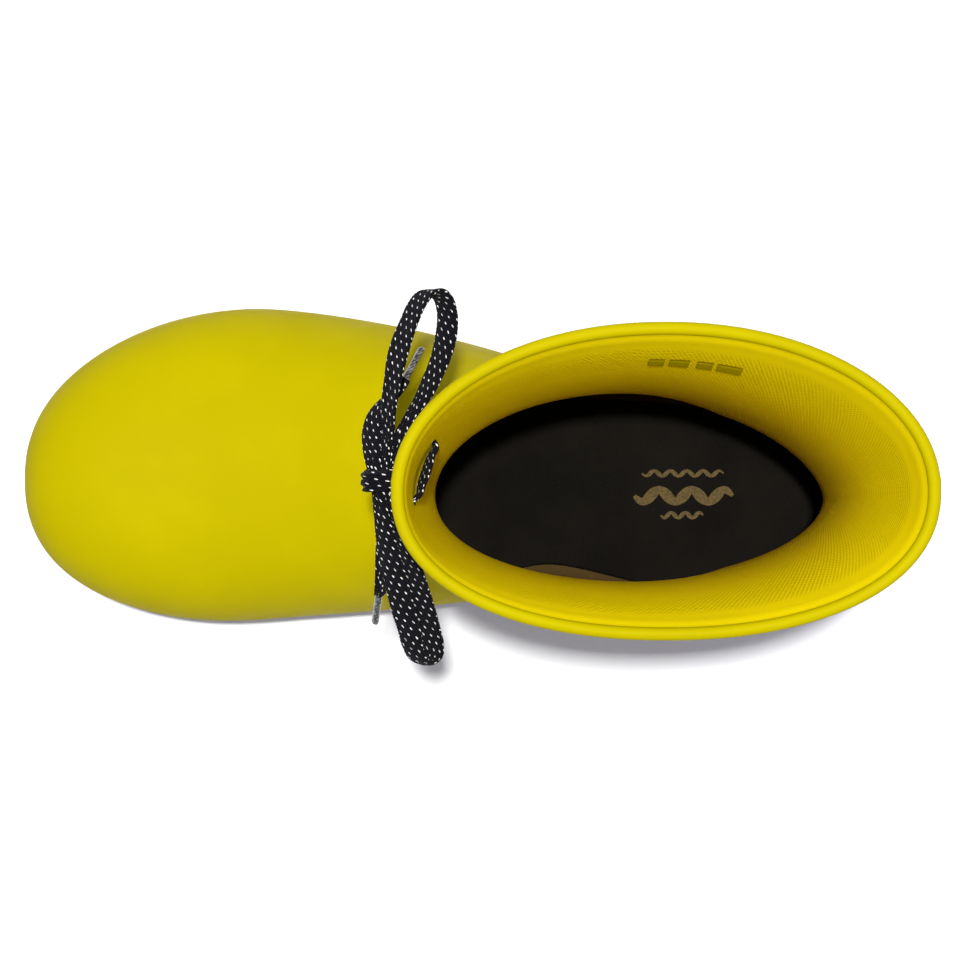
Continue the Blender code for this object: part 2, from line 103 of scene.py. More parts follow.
def build(name, points, faces, uv, materials, slots=None, smooth=True):
    """One piece from points in millimetres; uv, if any, gives a pair for each face corner."""
    mesh = bpy.data.meshes.new(name)
    mesh.from_pydata((np.asarray(points, float) * MM).tolist(), [], faces)
    if uv is not None:
        layer = mesh.uv_layers.new(name="detail")
        flat = np.array([pair for corners in uv for pair in corners], np.float32)
        layer.data.foreach_set("uv", flat.ravel())
    for material in materials:
        mesh.materials.append(material)
    if slots is not None:
        mesh.polygons.foreach_set("material_index", slots)
    if smooth:
        mesh.shade_smooth()
    mesh.update()
    piece = bpy.data.objects.new(name, mesh)
    bpy.context.scene.collection.objects.link(piece)
    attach(piece, "root")
    return piece


def tube(name, rings, along, materials, around):
    """A closed skin through rings of points, with flat ends; uv is the distance round and along."""
    rows, columns = rings.shape[:2]
    quads = grid_faces(rows, columns, True)
    faces = [tuple(r * columns + j % columns for r, j in quad) for quad in quads]
    uv = [tuple((around[j], along[r]) for r, j in quad) for quad in quads]
    for base, row in ((0, 0), ((rows - 1) * columns, rows - 1)):
        order = range(columns) if base else range(columns - 1, -1, -1)
        faces.append(tuple(base + j for j in order))
        uv.append(tuple((around[j], along[row]) for j in order))
    return build(name, rings.reshape(-1, 3), faces, uv, materials)


# ---------------------------------------- materials


class Nodes:
    """Shorthand for a material's node tree."""

    def __init__(self, name, roughness=0.5):
        self.material = bpy.data.materials.new(name)
        self.material.use_nodes = True
        self.tree = self.material.node_tree
        self.shader = self.tree.nodes["Principled BSDF"]
        self.shader.inputs["Roughness"].default_value = roughness

    def put(self, socket, value):
        if isinstance(value, bpy.types.NodeSocket):
            self.tree.links.new(value, socket)
        elif value is not None:
            socket.default_value = value

    def make(self, kind, **settings):
        node = self.tree.nodes.new(kind)
        for key, value in settings.items():
            setattr(node, key, value)
        return node

    def math(self, operation, a, b=None):
        node = self.make("ShaderNodeMath", operation=operation)
        for i, value in enumerate((a, b)):
            self.put(node.inputs[i], value)
        return node.outputs[0]

    def range(self, value, low, high, to_low=0.0, to_high=1.0, smooth=True):
        node = self.make("ShaderNodeMapRange", interpolation_type="SMOOTHSTEP" if smooth else "LINEAR")
        for i, item in enumerate((value, low, high, to_low, to_high)):
            self.put(node.inputs[i], item)
        return node.outputs[0]

    def place(self, uv=False):
        return self.make("ShaderNodeTexCoord").outputs["UV" if uv else "Object"]

    def split(self, vector):
        node = self.make("ShaderNodeSeparateXYZ")
        self.put(node.inputs[0], vector)
        return node.outputs

    def noise(self, scale, detail=2.0, roughness=0.5):
        node = self.make("ShaderNodeTexNoise")
        self.put(node.inputs["Vector"], self.place())
        node.inputs["Scale"].default_value = scale
        node.inputs["Detail"].default_value = detail
        node.inputs["Roughness"].default_value = roughness
        return node.outputs["Fac"]

    def cells(self, scale):
        node = self.make("ShaderNodeTexVoronoi")
        self.put(node.inputs["Vector"], self.place())
        node.inputs["Scale"].default_value = scale
        return node.outputs["Distance"]

    def mix(self, share, a, b):
        node = self.make("ShaderNodeMix", data_type="RGBA")
        self.put(node.inputs[0], share)
        for socket, value in ((node.inputs[6], a), (node.inputs[7], b)):
            self.put(socket, value if isinstance(value, bpy.types.NodeSocket) else (*value, 1))
        return node.outputs[2]

    def relief(self, height, distance):
        """Adds a bump, in millimetres, on top of the ones already there."""
        node = self.make("ShaderNodeBump")
        node.inputs["Strength"].default_value = 1.0
        node.inputs["Distance"].default_value = distance * MM
        self.put(node.inputs["Height"], height)
        normal = self.shader.inputs["Normal"]
        if normal.is_linked:
            self.tree.links.new(normal.links[0].from_socket, node.inputs["Normal"])
        self.tree.links.new(node.outputs[0], normal)

    def set(self, name, value):
        self.put(self.shader.inputs[name], value)


def foam(name, inside):
    """Moulded closed-cell foam, finely grained.

    The inner wall is painted brighter than the outer foam, as painted light; it has rows of small dots
    that stop short of the rim, painted darker as shade in their hollows, and painted shade that deepens
    towards the floor.
    """
    n = Nodes(name)
    tone = n.noise(22, 3, 0.6)
    speck = n.noise(900, 2, 0.6)
    light, deep = (0.385, 0.322, 0.0), (0.363, 0.302, 0.0)
    if inside:
        # painted light: the inner wall's foam is more than twice as bright as the outer foam, standing in
        # for light the inner wall does not get
        light, deep = (0.84, 0.68, 0.002), (0.80, 0.645, 0.002)
    colour = n.mix(n.range(tone, 0.35, 0.65), deep, light)
    if inside:
        height = n.split(n.place(uv=False))[2]
        # painted shade: the inner wall turns a deeper orange brown towards the floor, then dark brown just
        # above it, for light that fades deep in the shaft
        colour = n.mix(n.range(height, 0.06, 0.16, 1.0, 0.0), colour, (0.43, 0.255, 0.010))
        colour = n.mix(n.range(height, 0.030, 0.060, 1.0, 0.0), colour, (0.055, 0.033, 0.011))
    colour = n.mix(n.range(speck, 0.62, 0.78, 0.0, 0.10), colour, (0.33, 0.27, 0.0))
    n.set("Roughness", n.range(n.noise(140, 3), 0.3, 0.7, 0.46, 0.58))
    n.set("Specular IOR Level", 0.015)
    n.relief(n.noise(160, 3, 0.55), 0.035)
    n.relief(n.noise(1500, 2, 0.6), 0.02)
    if inside:
        u, v, _ = n.split(n.place(uv=True))
        pitch, row_height = 1.0, 1.65
        row = n.math("DIVIDE", v, row_height)
        odd = n.math("MULTIPLY", n.math("MODULO", n.math("FLOOR", row), 2.0), 0.5)
        across = n.math("SUBTRACT", n.math("FRACT", n.math("ADD", n.math("DIVIDE", u, pitch), odd)), 0.5)
        down = n.math("MULTIPLY", n.math("SUBTRACT", n.math("FRACT", row), 0.5), 0.866)
        away = n.math("SQRT", n.math("ADD", n.math("POWER", across, 2.0), n.math("POWER", down, 2.0)))
        dot = n.range(away, 0.12, 0.42, 1.0, 0.0)
        dot = n.math("MULTIPLY", dot, n.range(height, 0.176, 0.183, 1.0, 0.0))
        dot = n.math("MULTIPLY", dot, n.range(height, 0.050, 0.070))
        # painted shade: the sunk dots are painted darker, as shade in their hollows
        colour = n.mix(n.range(dot, 0.0, 1.0, 0.0, 0.34, smooth=False), colour, (0.40, 0.27, 0.003))
        n.relief(n.math("MULTIPLY", dot, -1.0), 0.22)
    n.set("Base Color", colour)
    return n.material


def braid(name):
    """Flat navy braid with light flecks: uv is in millimetres, round the lace and along it."""
    n = Nodes(name, 0.8)
    u, v, _ = n.split(n.place(uv=True))
    # slanted yarns, two ways
    slanted, turn = n.math("MULTIPLY", u, YARN_SLANT), math.pi / YARN_PITCH
    one = n.math("SINE", n.math("MULTIPLY", n.math("ADD", slanted, v), turn))
    two = n.math("SINE", n.math("MULTIPLY", n.math("SUBTRACT", slanted, v), turn))
    plait = n.math("MAXIMUM", n.math("MULTIPLY", one, 0.5), n.math("MULTIPLY", two, 0.5))
    # flecks on a staggered lattice
    across, along, slant = 2.6, 2.3, 0.32
    row = n.math("DIVIDE", n.math("ADD", v, n.math("MULTIPLY", u, slant)), along)
    odd = n.math("MULTIPLY", n.math("MODULO", n.math("FLOOR", row), 2.0), 0.5)
    slot_u = n.math("SUBTRACT", n.math("FRACT", n.math("ADD", n.math("DIVIDE", u, across), odd)), 0.5)
    slot_v = n.math("SUBTRACT", n.math("FRACT", row), 0.5)
    x, y = n.math("MULTIPLY", slot_u, across), n.math("MULTIPLY", slot_v, along)
    lean_x = n.math("ADD", n.math("MULTIPLY", x, 0.82), n.math("MULTIPLY", y, 0.57))
    lean_y = n.math("SUBTRACT", n.math("MULTIPLY", y, 0.82), n.math("MULTIPLY", x, 0.57))
    wobble = n.math("MULTIPLY", n.math("SUBTRACT", n.noise(700, 2), 0.5), 0.35)
    reach = n.math("SQRT", n.math("ADD", n.math("POWER", n.math("DIVIDE", lean_x, 0.215), 2.0),
                                  n.math("POWER", n.math("DIVIDE", lean_y, 0.44), 2.0)))
    fleck = n.range(n.math("ADD", reach, wobble), 0.86, 1.14, 1.0, 0.0)
    # painted shade: the navy is painted darker where the plait sinks between yarns
    plait_shade = n.range(plait, -0.2, 0.5)
    navy = n.mix(plait_shade, (0.0006, 0.0006, 0.0010), (0.0042, 0.0040, 0.0074))
    n.set("Base Color", n.mix(fleck, navy, (0.72, 0.72, 0.70)))
    n.set("Sheen Weight", 0.02)
    n.set("Specular IOR Level", 0.08)
    n.relief(plait, 0.22)
    n.relief(fleck, 0.12)
    n.relief(n.noise(3500, 2, 0.7), 0.05)
    return n.material


def clear_tip(name):
    """Cloudy clear plastic rolled round the end of the braid."""
    n = Nodes(name, 0.22)
    u, v, _ = n.split(n.place(uv=True))
    yarn = n.math("SINE", n.math("MULTIPLY", n.math("ADD", n.math("MULTIPLY", u, 1.3), v), math.pi / 0.7))
    cloud = n.math("MULTIPLY", n.noise(650, 4, 0.7), 5.0)
    pale = n.range(n.math("ADD", n.math("MULTIPLY", yarn, 0.35), cloud), 1.9, 3.6)
    n.set("Base Color", n.mix(pale, (0.018, 0.018, 0.018), (0.20, 0.20, 0.19)))
    n.set("Coat Weight", 0.6)
    n.set("Coat Roughness", 0.08)
    n.set("Specular IOR Level", 0.5)
    n.relief(n.noise(450, 3), 0.08)
    return n.material


def knit(name):
    """Black brushed knit of the footbed."""
    n = Nodes(name, 0.9)
    x, y, _ = n.split(n.place())
    wale_pitch, course_pitch = 0.00075, 0.0006
    wale = n.math("SINE", n.math("MULTIPLY", y, 2 * math.pi / wale_pitch))
    course = n.math("SINE", n.math("MULTIPLY", x, 2 * math.pi / course_pitch))
    stitch = n.math("MULTIPLY", wale, course)
    cloud = n.range(n.noise(35, 4, 0.6), 0.3, 0.7)
    n.set("Base Color", n.mix(cloud, (0.0042, 0.0034, 0.0024), (0.0070, 0.0058, 0.0040)))
    n.set("Specular IOR Level", 0.08)
    n.relief(stitch, 0.10)
    n.relief(n.noise(2500, 2, 0.7), 0.08)
    return n.material


def ink(name):
    """Tan print on the footbed, slightly broken up by the knit."""
    n = Nodes(name, 0.85)
    worn = n.range(n.noise(1400, 3, 0.7), 0.42, 0.6, 0.0, 0.55)
    n.set("Base Color", n.mix(worn, (0.100, 0.068, 0.022), (0.028, 0.021, 0.010)))
    n.set("Specular IOR Level", 0.15)
    n.relief(n.noise(2500, 2, 0.7), 0.05)
    return n.material


def footbed_foam(name):
    """Dark open foam under the footbed's knit."""
    n = Nodes(name, 0.85)
    cells = n.cells(1300)
    # painted shade: the pits of the cells are painted darker than their rims
    n.set("Base Color", n.mix(n.range(cells, 0.1, 0.5), (0.022, 0.022, 0.023), (0.055, 0.055, 0.056)))
    n.relief(cells, 0.15)
    return n.material


def rubber(name):
    """Navy rubber of the tread, a little dusty."""
    n = Nodes(name, 0.6)
    dust = n.range(n.noise(60, 4, 0.65), 0.45, 0.75)
    n.set("Base Color", n.mix(dust, (0.0065, 0.009, 0.020), (0.020, 0.024, 0.038)))
    n.set("Roughness", n.range(n.noise(220, 3), 0.3, 0.7, 0.5, 0.68))
    n.relief(n.noise(900, 3, 0.6), 0.05)
    return n.material


def floor_paint(name):
    """Pale floor, with a faint blue glow that keeps the shadow from going dark."""
    n = Nodes(name, 0.6)
    n.set("Base Color", n.mix(n.noise(6, 2), (0.70, 0.70, 0.70), (0.71, 0.71, 0.71)))
    n.set("Emission Color", (0.36, 0.37, 0.68, 1))
    n.set("Emission Strength", 0.22)
    n.set("Specular IOR Level", 0.1)
    return n.material


FOAM = foam("yellow_foam", False)
FOAM_INSIDE_PAINTED_LIGHT_AND_SHADE = foam("yellow_foam_inside_painted_light_and_shade", True)
BRAID = braid("navy_braid")
CLEAR = clear_tip("clear_tip")
KNIT = knit("black_knit")
INK = ink("tan_ink")
FOOTBED_FOAM = footbed_foam("footbed_foam")
RUBBER = rubber("navy_rubber")

# ---------------------------------------- lace

LACE_WIDTH, LACE_THICKNESS = 7.8, 1.6
SLOT_Z = 161.0
STEP = 0.3  # spacing of the lace's mesh, fine enough for its plait
PLAIT_RELIEF = 0.085

# Each key: x, y, z, lean of the lace's width from upright (degrees), width share.
OUTER_LACE = [
    (2.6, -5.6, 161, 0, 0.9), (6.0, -5.3, 161.2, 0, 0.9), (9.4, -3.8, 161.3, 4, 0.85),
    (12.0, -0.4, 161.1, 14, 0.75), (13.5, 5.2, 161, 22, 0.7), (14.0, 10, 160.6, 24, 0.72),
    (13.4, 15, 159.2, 26, 0.8), (11.6, 19.6, 157.2, 32, 0.9), (9.1, 24.8, 154.8, 42, 0.97),
    (7.2, 30.7, 152, 50, 1), (5.2, 38.0, 148.6, 55, 1), (3.5, 44.4, 146.2, 58, 1),
    (1.9, 50.2, 144.6, 58, 1), (0.7, 54.6, 144.2, 52, 1), (0.8, 57.8, 145.0, 44, 1),
    (2.5, 59.3, 146.8, 40, 1), (5.0, 58.2, 149.2, 44, 1), (6.7, 54.4, 151.6, 54, 1),
    (7.6, 49.7, 153.8, 60, 1), (9.3, 43.7, 156, 60, 1), (11.2, 35.6, 158.2, 60, 1),
    (12.6, 29.9, 159.6, 56, 1), (14.1, 23.2, 160.8, 48, 0.97), (15.4, 15.3, 161.6, 40, 0.86),
    (16.2, 9.4, 161.4, 33, 0.72), (16.8, 5.2, 161, 32, 0.66), (17.6, 1.2, 160.2, 36, 0.76),
    (18.2, -3.2, 158.2, 42, 0.9), (18.3, -8.5, 156, 46, 0.96), (17.0, -13.4, 154.6, 44, 0.9),
    (14.2, -17.2, 153.6, 38, 0.8), (11.7, -19.6, 152.9, 32, 0.62), (9.95, -21.9, 151.8, 28, 0.40),
    (8.95, -23.8, 151, 28, 0.30),
]
INNER_LACE = [
    (5.6, 11.8, 161, 0, 0.9), (9.2, 11.7, 161.2, 0, 0.9), (11.6, 10.4, 161.2, 6, 0.8),
    (12.8, 7.6, 161, 14, 0.72), (13.6, 4.2, 161, 18, 0.7), (14.1, 0.6, 161, 20, 0.7),
    (13.4, -2.2, 160.4, 20, 0.72), (11.6, -5.2, 159.2, 22, 0.72), (9.2, -9.3, 157.4, 28, 0.72),
    (5.9, -14.8, 154.6, 36, 0.8), (3.2, -19.2, 152.6, 42, 0.92), (1.0, -24.0, 151, 46, 1),
    (-1.4, -29.9, 149.8, 48, 1), (-3.2, -37.3, 149.2, 48, 1), (-3.4, -43.6, 149.6, 48, 1),
    (-2.3, -47.6, 150.8, 48, 1), (-0.2, -49.6, 152.6, 48, 1), (2.4, -49.1, 154.8, 48, 1),
    (4.9, -46.1, 157, 48, 1), (7.2, -41, 159.5, 48, 1), (9.5, -34.8, 161.3, 47, 1),
    (10.9, -29.6, 162.5, 46, 0.97), (12.0, -23.7, 163.2, 44, 0.93), (13.0, -17.9, 163.4, 42, 0.87),
    (13.4, -13, 163, 38, 0.8), (13.6, -8.1, 162, 34, 0.74), (14.2, -2.4, 161.3, 30, 0.7),
    (15.1, 5.2, 160.9, 28, 0.66), (15.0, 10, 159.4, 34, 0.7), (14.7, 15, 157.8, 40, 0.76),
    (14.6, 20.5, 155.9, 44, 0.8), (15.1, 26, 154.7, 44, 0.8), (15.7, 31, 153.2, 42, 0.74),
    (16.1, 35, 151.9, 40, 0.6), (16.4, 38, 150.6, 40, 0.36), (16.55, 39.6, 149.5, 40, 0.30),
]


def resample(keys, step):
    """Smooth curve through the keys, at equal steps along its first three numbers."""
    keys = np.array(keys, float)
    chord = np.append(0, np.cumsum(np.linalg.norm(np.diff(keys[:, :3], axis=0), axis=1)))
    dense = np.linspace(0, chord[-1], 3000)
    line = np.stack([follow(list(zip(chord, keys[:, c])), dense) for c in range(keys.shape[1])], -1)
    along = np.append(0, np.cumsum(np.linalg.norm(np.diff(line[:, :3], axis=0), axis=1)))
    at = np.linspace(0, along[-1], int(along[-1] / step) + 1)
    return np.stack([np.interp(at, along, line[:, c]) for c in range(line.shape[1])], -1), at


def plait_height(round_mm, along_mm):
    """Relief of the plait: yarns slanted both ways, crossing over and under."""
    one = np.sin((YARN_SLANT * round_mm + along_mm) * math.pi / YARN_PITCH)
    two = np.sin((YARN_SLANT * round_mm - along_mm) * math.pi / YARN_PITCH)
    return np.maximum(one, two)


def flat_outline(width, thickness, points):
    """Corner-rounded flat section with its outward normals and the distance round it."""
    turn = np.linspace(0, 2 * math.pi, 2000, endpoint=False)
    x = width / 2 * np.sign(np.cos(turn)) * np.abs(np.cos(turn)) ** 0.5
    y = thickness / 2 * np.sign(np.sin(turn)) * np.abs(np.sin(turn)) ** 0.7
    line = np.stack([x, y], -1)
    length = np.append(0, np.cumsum(np.linalg.norm(np.diff(np.vstack([line, line[:1]]), axis=0), axis=1)))
    at = np.linspace(0, length[-1], points, endpoint=False)
    place = np.stack([np.interp(at, length, np.append(line[:, c], line[0, c])) for c in (0, 1)], -1)
    ahead = np.roll(place, -1, axis=0) - np.roll(place, 1, axis=0)
    normal = unit(np.stack([ahead[:, 1], -ahead[:, 0]], -1))
    return place, normal, np.append(at, length[-1])


def lace(name, keys, cup=0.35):
    """A flat braided lace through keys; returns the piece, its centre line and its length."""
    line, at = resample(keys, STEP)
    centre, lean, share = line[:, :3], np.radians(line[:, 3]), line[:, 4]
    way = unit(np.gradient(centre, axis=0))
    lean = lean + math.radians(3) * np.sin(at / 7.3) + math.radians(2) * np.sin(at / 3.1 + 1)
    wide = np.stack([-np.sin(lean), 0 * lean, np.cos(lean)], -1)
    wide = unit(wide - way * (wide * way).sum(1, keepdims=True))
    thick = np.cross(way, wide)
    points = int((2 * LACE_WIDTH + 2 * LACE_THICKNESS) / STEP)
    place, normal, round_mm = flat_outline(LACE_WIDTH, LACE_THICKNESS, points)
    relief = PLAIT_RELIEF * plait_height(round_mm[None, :-1], at[:, None])
    scallop = 1 + 0.012 * np.sin(at * math.pi / YARN_PITCH)
    # a narrow stretch is gathered: it thickens and folds lengthwise
    gather = np.clip(1 - share, 0, 1)[:, None]
    across = place[None, :, 0] * (share * scallop)[:, None]
    pleat = 0.9 * gather * np.sin(place[None, :, 0] * 2.1 + 0.15 * np.sin(at[:, None] / 2.3))
    bow = -cup * (1 - (place[None, :, 0] / (LACE_WIDTH / 2)) ** 2) + pleat
    deep = place[None, :, 1] * (1 + 0.5 * gather) + bow + relief * normal[None, :, 1]
    across = across + relief * normal[None, :, 0]
    rings = centre[:, None] + wide[:, None] * across[..., None] + thick[:, None] * deep[..., None]
    piece = tube(name, rings, at, [BRAID], round_mm)
    return piece, centre, at[-1]


def lace_tip(name, start, end, radius):
    """A rolled clear tip, a little flat, over the end of the lace."""
    start, end = np.array(start, float), np.array(end, float)
    length = np.linalg.norm(end - start)
    way = (end - start) / length
    side = unit(np.cross(way, (0.67, 0, 0.74)))
    up = np.cross(side, way)
    stations = [(0.0, 0.93), (0.25, 1.02), (0.6, 1.05), (1.2, 1.0)]
    stations += [(t, 1 + 0.02 * math.sin(t * 1.9)) for t in np.linspace(2, length - 1.2, 18)]
    stations += [(length - 0.6, 0.99), (length - 0.2, 0.90), (length, 0.72)]
    points = 40
    turn = np.linspace(0, 2 * math.pi, points, endpoint=False)
    seam = 1 - 0.10 * np.exp(-((turn - 1.2) / 0.12) ** 2)
    rings = []
    for along, share in stations:
        across = side * (np.cos(turn) * seam * radius * 1.12)[:, None]
        across = across + up * (np.sin(turn) * seam * radius * 0.85)[:, None]
        rings.append(start + way * along + across * share)
    round_mm = np.append(turn, 2 * math.pi) * radius
    return tube(name, np.array(rings), [along for along, _ in stations], [CLEAR], round_mm)


KNOT_CENTRE, KNOT_TILT = (15.35, 5.2, 161.0), 0.17


def knot_wrap():
    """The pass of lace that goes round the bow's middle, gathered into a short pleated band."""
    points, sections = 300, 44
    turn = np.linspace(0, 2 * math.pi, points, endpoint=False)
    core_x, core_z = 4.25, 4.9
    ring = np.stack([np.sign(np.cos(turn)) * np.abs(np.cos(turn)) ** 0.75 * core_x, 0 * turn,
                     np.sign(np.sin(turn)) * np.abs(np.sin(turn)) ** 0.75 * core_z], -1)
    ahead = unit(np.roll(ring, -1, axis=0) - np.roll(ring, 1, axis=0))
    out = np.cross(ahead, (0, -1.0, 0))
    out = out * np.sign((out * ring).sum(1, keepdims=True))
    length = np.append(0, np.cumsum(np.linalg.norm(np.roll(ring, -1, axis=0) - ring, axis=1)))
    around = np.linspace(0, 2 * math.pi, sections, endpoint=False)
    half_width, half_thick = 3.1, 0.95
    y = half_width * np.sign(np.cos(around)) * np.abs(np.cos(around)) ** 0.6
    r = half_thick * np.sign(np.sin(around)) * np.abs(np.sin(around)) ** 0.7
    edge = np.append(0, np.cumsum(np.hypot(np.diff(np.append(y, y[0])), np.diff(np.append(r, r[0])))))
    u = edge * LACE_WIDTH / half_width / 2
    pleat = 0.42 * np.sin(y[None, :] * 2.6 + 0.5 * np.sin(turn[:, None] * 2))
    relief = PLAIT_RELIEF * plait_height(u[None, :-1], length[:-1, None])
    radial = 0.75 + r[None, :] + pleat + relief * np.sign(r)[None, :] - 0.05 * y[None, :] ** 2
    rings = ring[:, None] + out[:, None] * radial[..., None]
    rings[..., 1] += y[None, :] + 0.7 * np.sin(turn)[:, None] - 0.25 * np.cos(turn)[:, None]
    rings[..., 1] += KNOT_TILT * rings[..., 0]
    rings = rings + np.array(KNOT_CENTRE)
    quads = grid_faces(points + 1, sections, True)
    faces = [tuple(i % points * sections + j % sections for i, j in quad) for quad in quads]
    uv = [tuple((u[j], length[i]) for i, j in quad) for quad in quads]
    return build("bow_wrap", rings.reshape(-1, 3), faces, uv, [BRAID])


outer_lace, outer_line, outer_length = lace("lace_outer_slot", OUTER_LACE)
inner_lace, inner_line, inner_length = lace("lace_inner_slot", INNER_LACE)
outer_tip = lace_tip("tip_outer_side", (9.6, -22.6, 151.4), (4.1, -33.3, 146.2), 1.0)
inner_tip = lace_tip("tip_inner_side", (16.5, 38.3, 150.3), (18.2, 48.2, 142.2), 1.15)
bow_wrap = knot_wrap()
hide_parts("aglet_outer_side")
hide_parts("aglet_inner_side")
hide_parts("lace_knot")
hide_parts("lace_loop_inner_side", "lace_tail_outer_side")
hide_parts("lace_loop_outer_side", "lace_tail_inner_side")

# ---------------------------------------- the boot's forms

LEAST = 0.003
TOE_X, BALL_X, TOE_POWER = 141.6, 57.0, 2.3
FOOT_END_X, WAIST_X = -100.0, -45.0
FOOT_HALF_WIDTH = [(-100, 35), (-45, 37), (-15, 43), (20, 49), (57, 53), (142, 53)]
FOOT_CENTRE_Y = [(-137, 13), (-110, 12), (-55, 8), (-13, 3.3), (28, 0.7), (55, 0), (90, 1.5), (142, 5.5)]
WIDEST_Z, UNDERCUT, DOME_POWER = 24.0, 42.0, 2.25
RIDGE_Z = [(-78, 90), (-20, 92), (0, 88), (20, 79), (42, 70.5), (70, 64), (95, 60), (142, 58)]
TOE_DOME_X, TOE_DOME_POWER = 84.0, 2.5
SPRING_X, SPRING_RISE = 78.0, 7.0
RIM_Z = 195.0
SHAFT_FRONT_X = [(0, -40), (30, -32), (60, -16), (84, -2), (104, 3.6), (130, 7.2), (160, 9.6), (195, 11.1)]
SHAFT_BACK_X = [(0, -132), (12, -135.4), (35, -136.4), (58, -132), (80, -127.8), (100, -128.2)]
SHAFT_BACK_X += [(130, -130.8), (165, -136), (195, -140.8)]
SHAFT_HALF_WIDTH = [(0, 32.6), (14, 35.2), (30, 36.4), (55, 34.8), (75, 33), (100, 33.4), (130, 34.8)]
SHAFT_HALF_WIDTH += [(155, 36.8), (175, 39.6), (195, 44.1)]
SHAFT_CENTRE_Y = [(0, 10.4), (35, 10.2), (75, 9), (100, 8), (150, 6.8), (195, 6.1)]
SHAFT_POWER = [(0, 2.35), (60, 2.2), (100, 2.0), (150, 2.05), (195, 2.12)]
SHAFT_BACK_POWER = [(0, 2.35), (35, 2.15), (75, 1.76), (100, 1.8), (130, 1.9), (165, 2.0), (195, 2.12)]
SHAFT_END_SWING = 3.0
BLEND, BLEND_GAIN, BLEND_Z = 20, 14, (45, 80)
BEAD_RISE, BEAD_HEIGHT = 0.7, 4.0
SOLE_Z, ARCH_RELIEF, ARCH_X, ARCH_RAMP = 4.3, 3.0, (-58.0, -10.0), 8.0
SOLE_CORNER, CAVITY_CORNER = 6.0, 9.0
WALL = [(0, 6.0), (30, 5.0), (80, 4.4), (130, 3.9), (195, 3.7)]
TOE_WALL_GAIN = 1.2
RIM_STEP, RIM_STEP_Z, RIM_STEP_FROM_Z = 0.2, (184.5, 190.5), (120, 165)
FLOOR_Z = [(-137, 17.5), (-60, 16.5), (10, 13.5), (60, 12.5), (142, 12.5)]
PIVOT_X, PIVOT_Z = 27.0, 110.0
FAN_CENTRE = [(0, 66), (0.3, 88), (0.6, 108), (0.8, 104), (1, 92)]
FOOT_ASPECT, SHAFT_ASPECT = 0.62, 1.8  # of the rays that find the skin: forward against sideways
SHELL_POINTS, SHELL_RINGS, BEAD_RINGS = 220, (46, 84, 44), 14
TURN_SHARE = 0.5  # how much the skin's turning counts beside its length, when points are shared out
RAY_LENGTH, HALVINGS = 260.0, 34
PARTING_RIDGE, TEXTURE_GIRTH = 0.14, 300
SLOT_Y, SLOT_WIDTH, SLOT_HEIGHT = (-5.6, 11.8), 3.4, 9.8


def join(a, b, soft):
    """The larger of two distances, rounded over where they are nearly equal."""
    near = np.maximum(soft - np.abs(a - b), 0) / soft
    return np.maximum(a, b) + near * near * soft / 4


def meet(a, b, soft):
    return -join(-a, -b, soft)


def superellipse(across, along, half_across, half_along, power):
    """How far a point is inside a superellipse, measured along the ray from its centre."""
    across, along = across + LEAST**2, along + LEAST**2
    norm = (np.abs(across / half_across) ** power + np.abs(along / half_along) ** power) ** (1 / power)
    reach = np.hypot(across, along)
    return reach / norm - reach


def round_end(share, power):
    return np.maximum(1 - np.clip(share, 0, 1) ** power, 0) ** (1 / power)


def toe_spring(x):
    return SPRING_RISE * (np.maximum(x - SPRING_X, 0) / (TOE_X - SPRING_X)) ** 2


def foot_part(x, y, z, inset):
    toe = round_end((x - BALL_X) / (TOE_X - inset - BALL_X), TOE_POWER)
    back = round_end((WAIST_X - x) / (WAIST_X - FOOT_END_X - inset), 2)
    half_width = (follow(FOOT_HALF_WIDTH, x) - inset) * toe * back
    dome = round_end((x - TOE_DOME_X) / (TOE_X - inset - TOE_DOME_X), TOE_DOME_POWER)
    up = z - toe_spring(x) - WIDEST_Z
    height = (np.where(up > 0, follow(RIDGE_Z, x) - WIDEST_Z, UNDERCUT) - inset) * dome
    inside = superellipse(y - follow(FOOT_CENTRE_Y, x), up, half_width + LEAST, height + LEAST, DOME_POWER)
    return np.minimum(inside, np.minimum(TOE_X - inset - x, x - FOOT_END_X - inset))


def shaft_part(x, y, z, inset):
    front, back = follow(SHAFT_FRONT_X, z), follow(SHAFT_BACK_X, z)
    half_length, forward = (front - back) / 2 - inset, x - (front + back) / 2
    half_width = follow(SHAFT_HALF_WIDTH, z) - inset
    centre_y = follow(SHAFT_CENTRE_Y, z) + SHAFT_END_SWING * np.clip(forward / half_length, -1, 1) ** 2
    power = np.where(forward > 0, follow(SHAFT_POWER, z), follow(SHAFT_BACK_POWER, z))
    return superellipse(y - centre_y, forward, half_width, half_length, power)


def body(x, y, z, inset=0.0):
    """Distance inside the outer form, or inside the form that lies an inset under it."""
    soft = BLEND + BLEND_GAIN * ease(*BLEND_Z, z)
    inset = inset - BEAD_RISE * np.exp(-(((z - RIM_Z) / BEAD_HEIGHT) ** 2))
    return join(foot_part(x, y, z, inset), shaft_part(x, y, z, inset), soft)


def sole_height(x):
    arch = ease(ARCH_X[0] - ARCH_RAMP, ARCH_X[0], x) * (1 - ease(ARCH_X[1], ARCH_X[1] + ARCH_RAMP, x))
    return SOLE_Z + ARCH_RELIEF * arch + toe_spring(x)


def outer_skin(x, y, z):
    return meet(body(x, y, z), z - sole_height(x), SOLE_CORNER)


def floor_height(x):
    return follow(FLOOR_Z, x) + toe_spring(x)


def cavity(x, y, z, clearance=0.0):
    """Distance inside the inner skin, kept a clearance from its walls."""
    wall = follow(WALL, z) + TOE_WALL_GAIN * ease(BALL_X, TOE_X, x)
    wall = wall - RIM_STEP * (1 - ease(*RIM_STEP_Z, z)) * ease(*RIM_STEP_FROM_Z, z)
    return meet(body(x, y, z, wall + clearance), z - floor_height(x), CAVITY_CORNER)


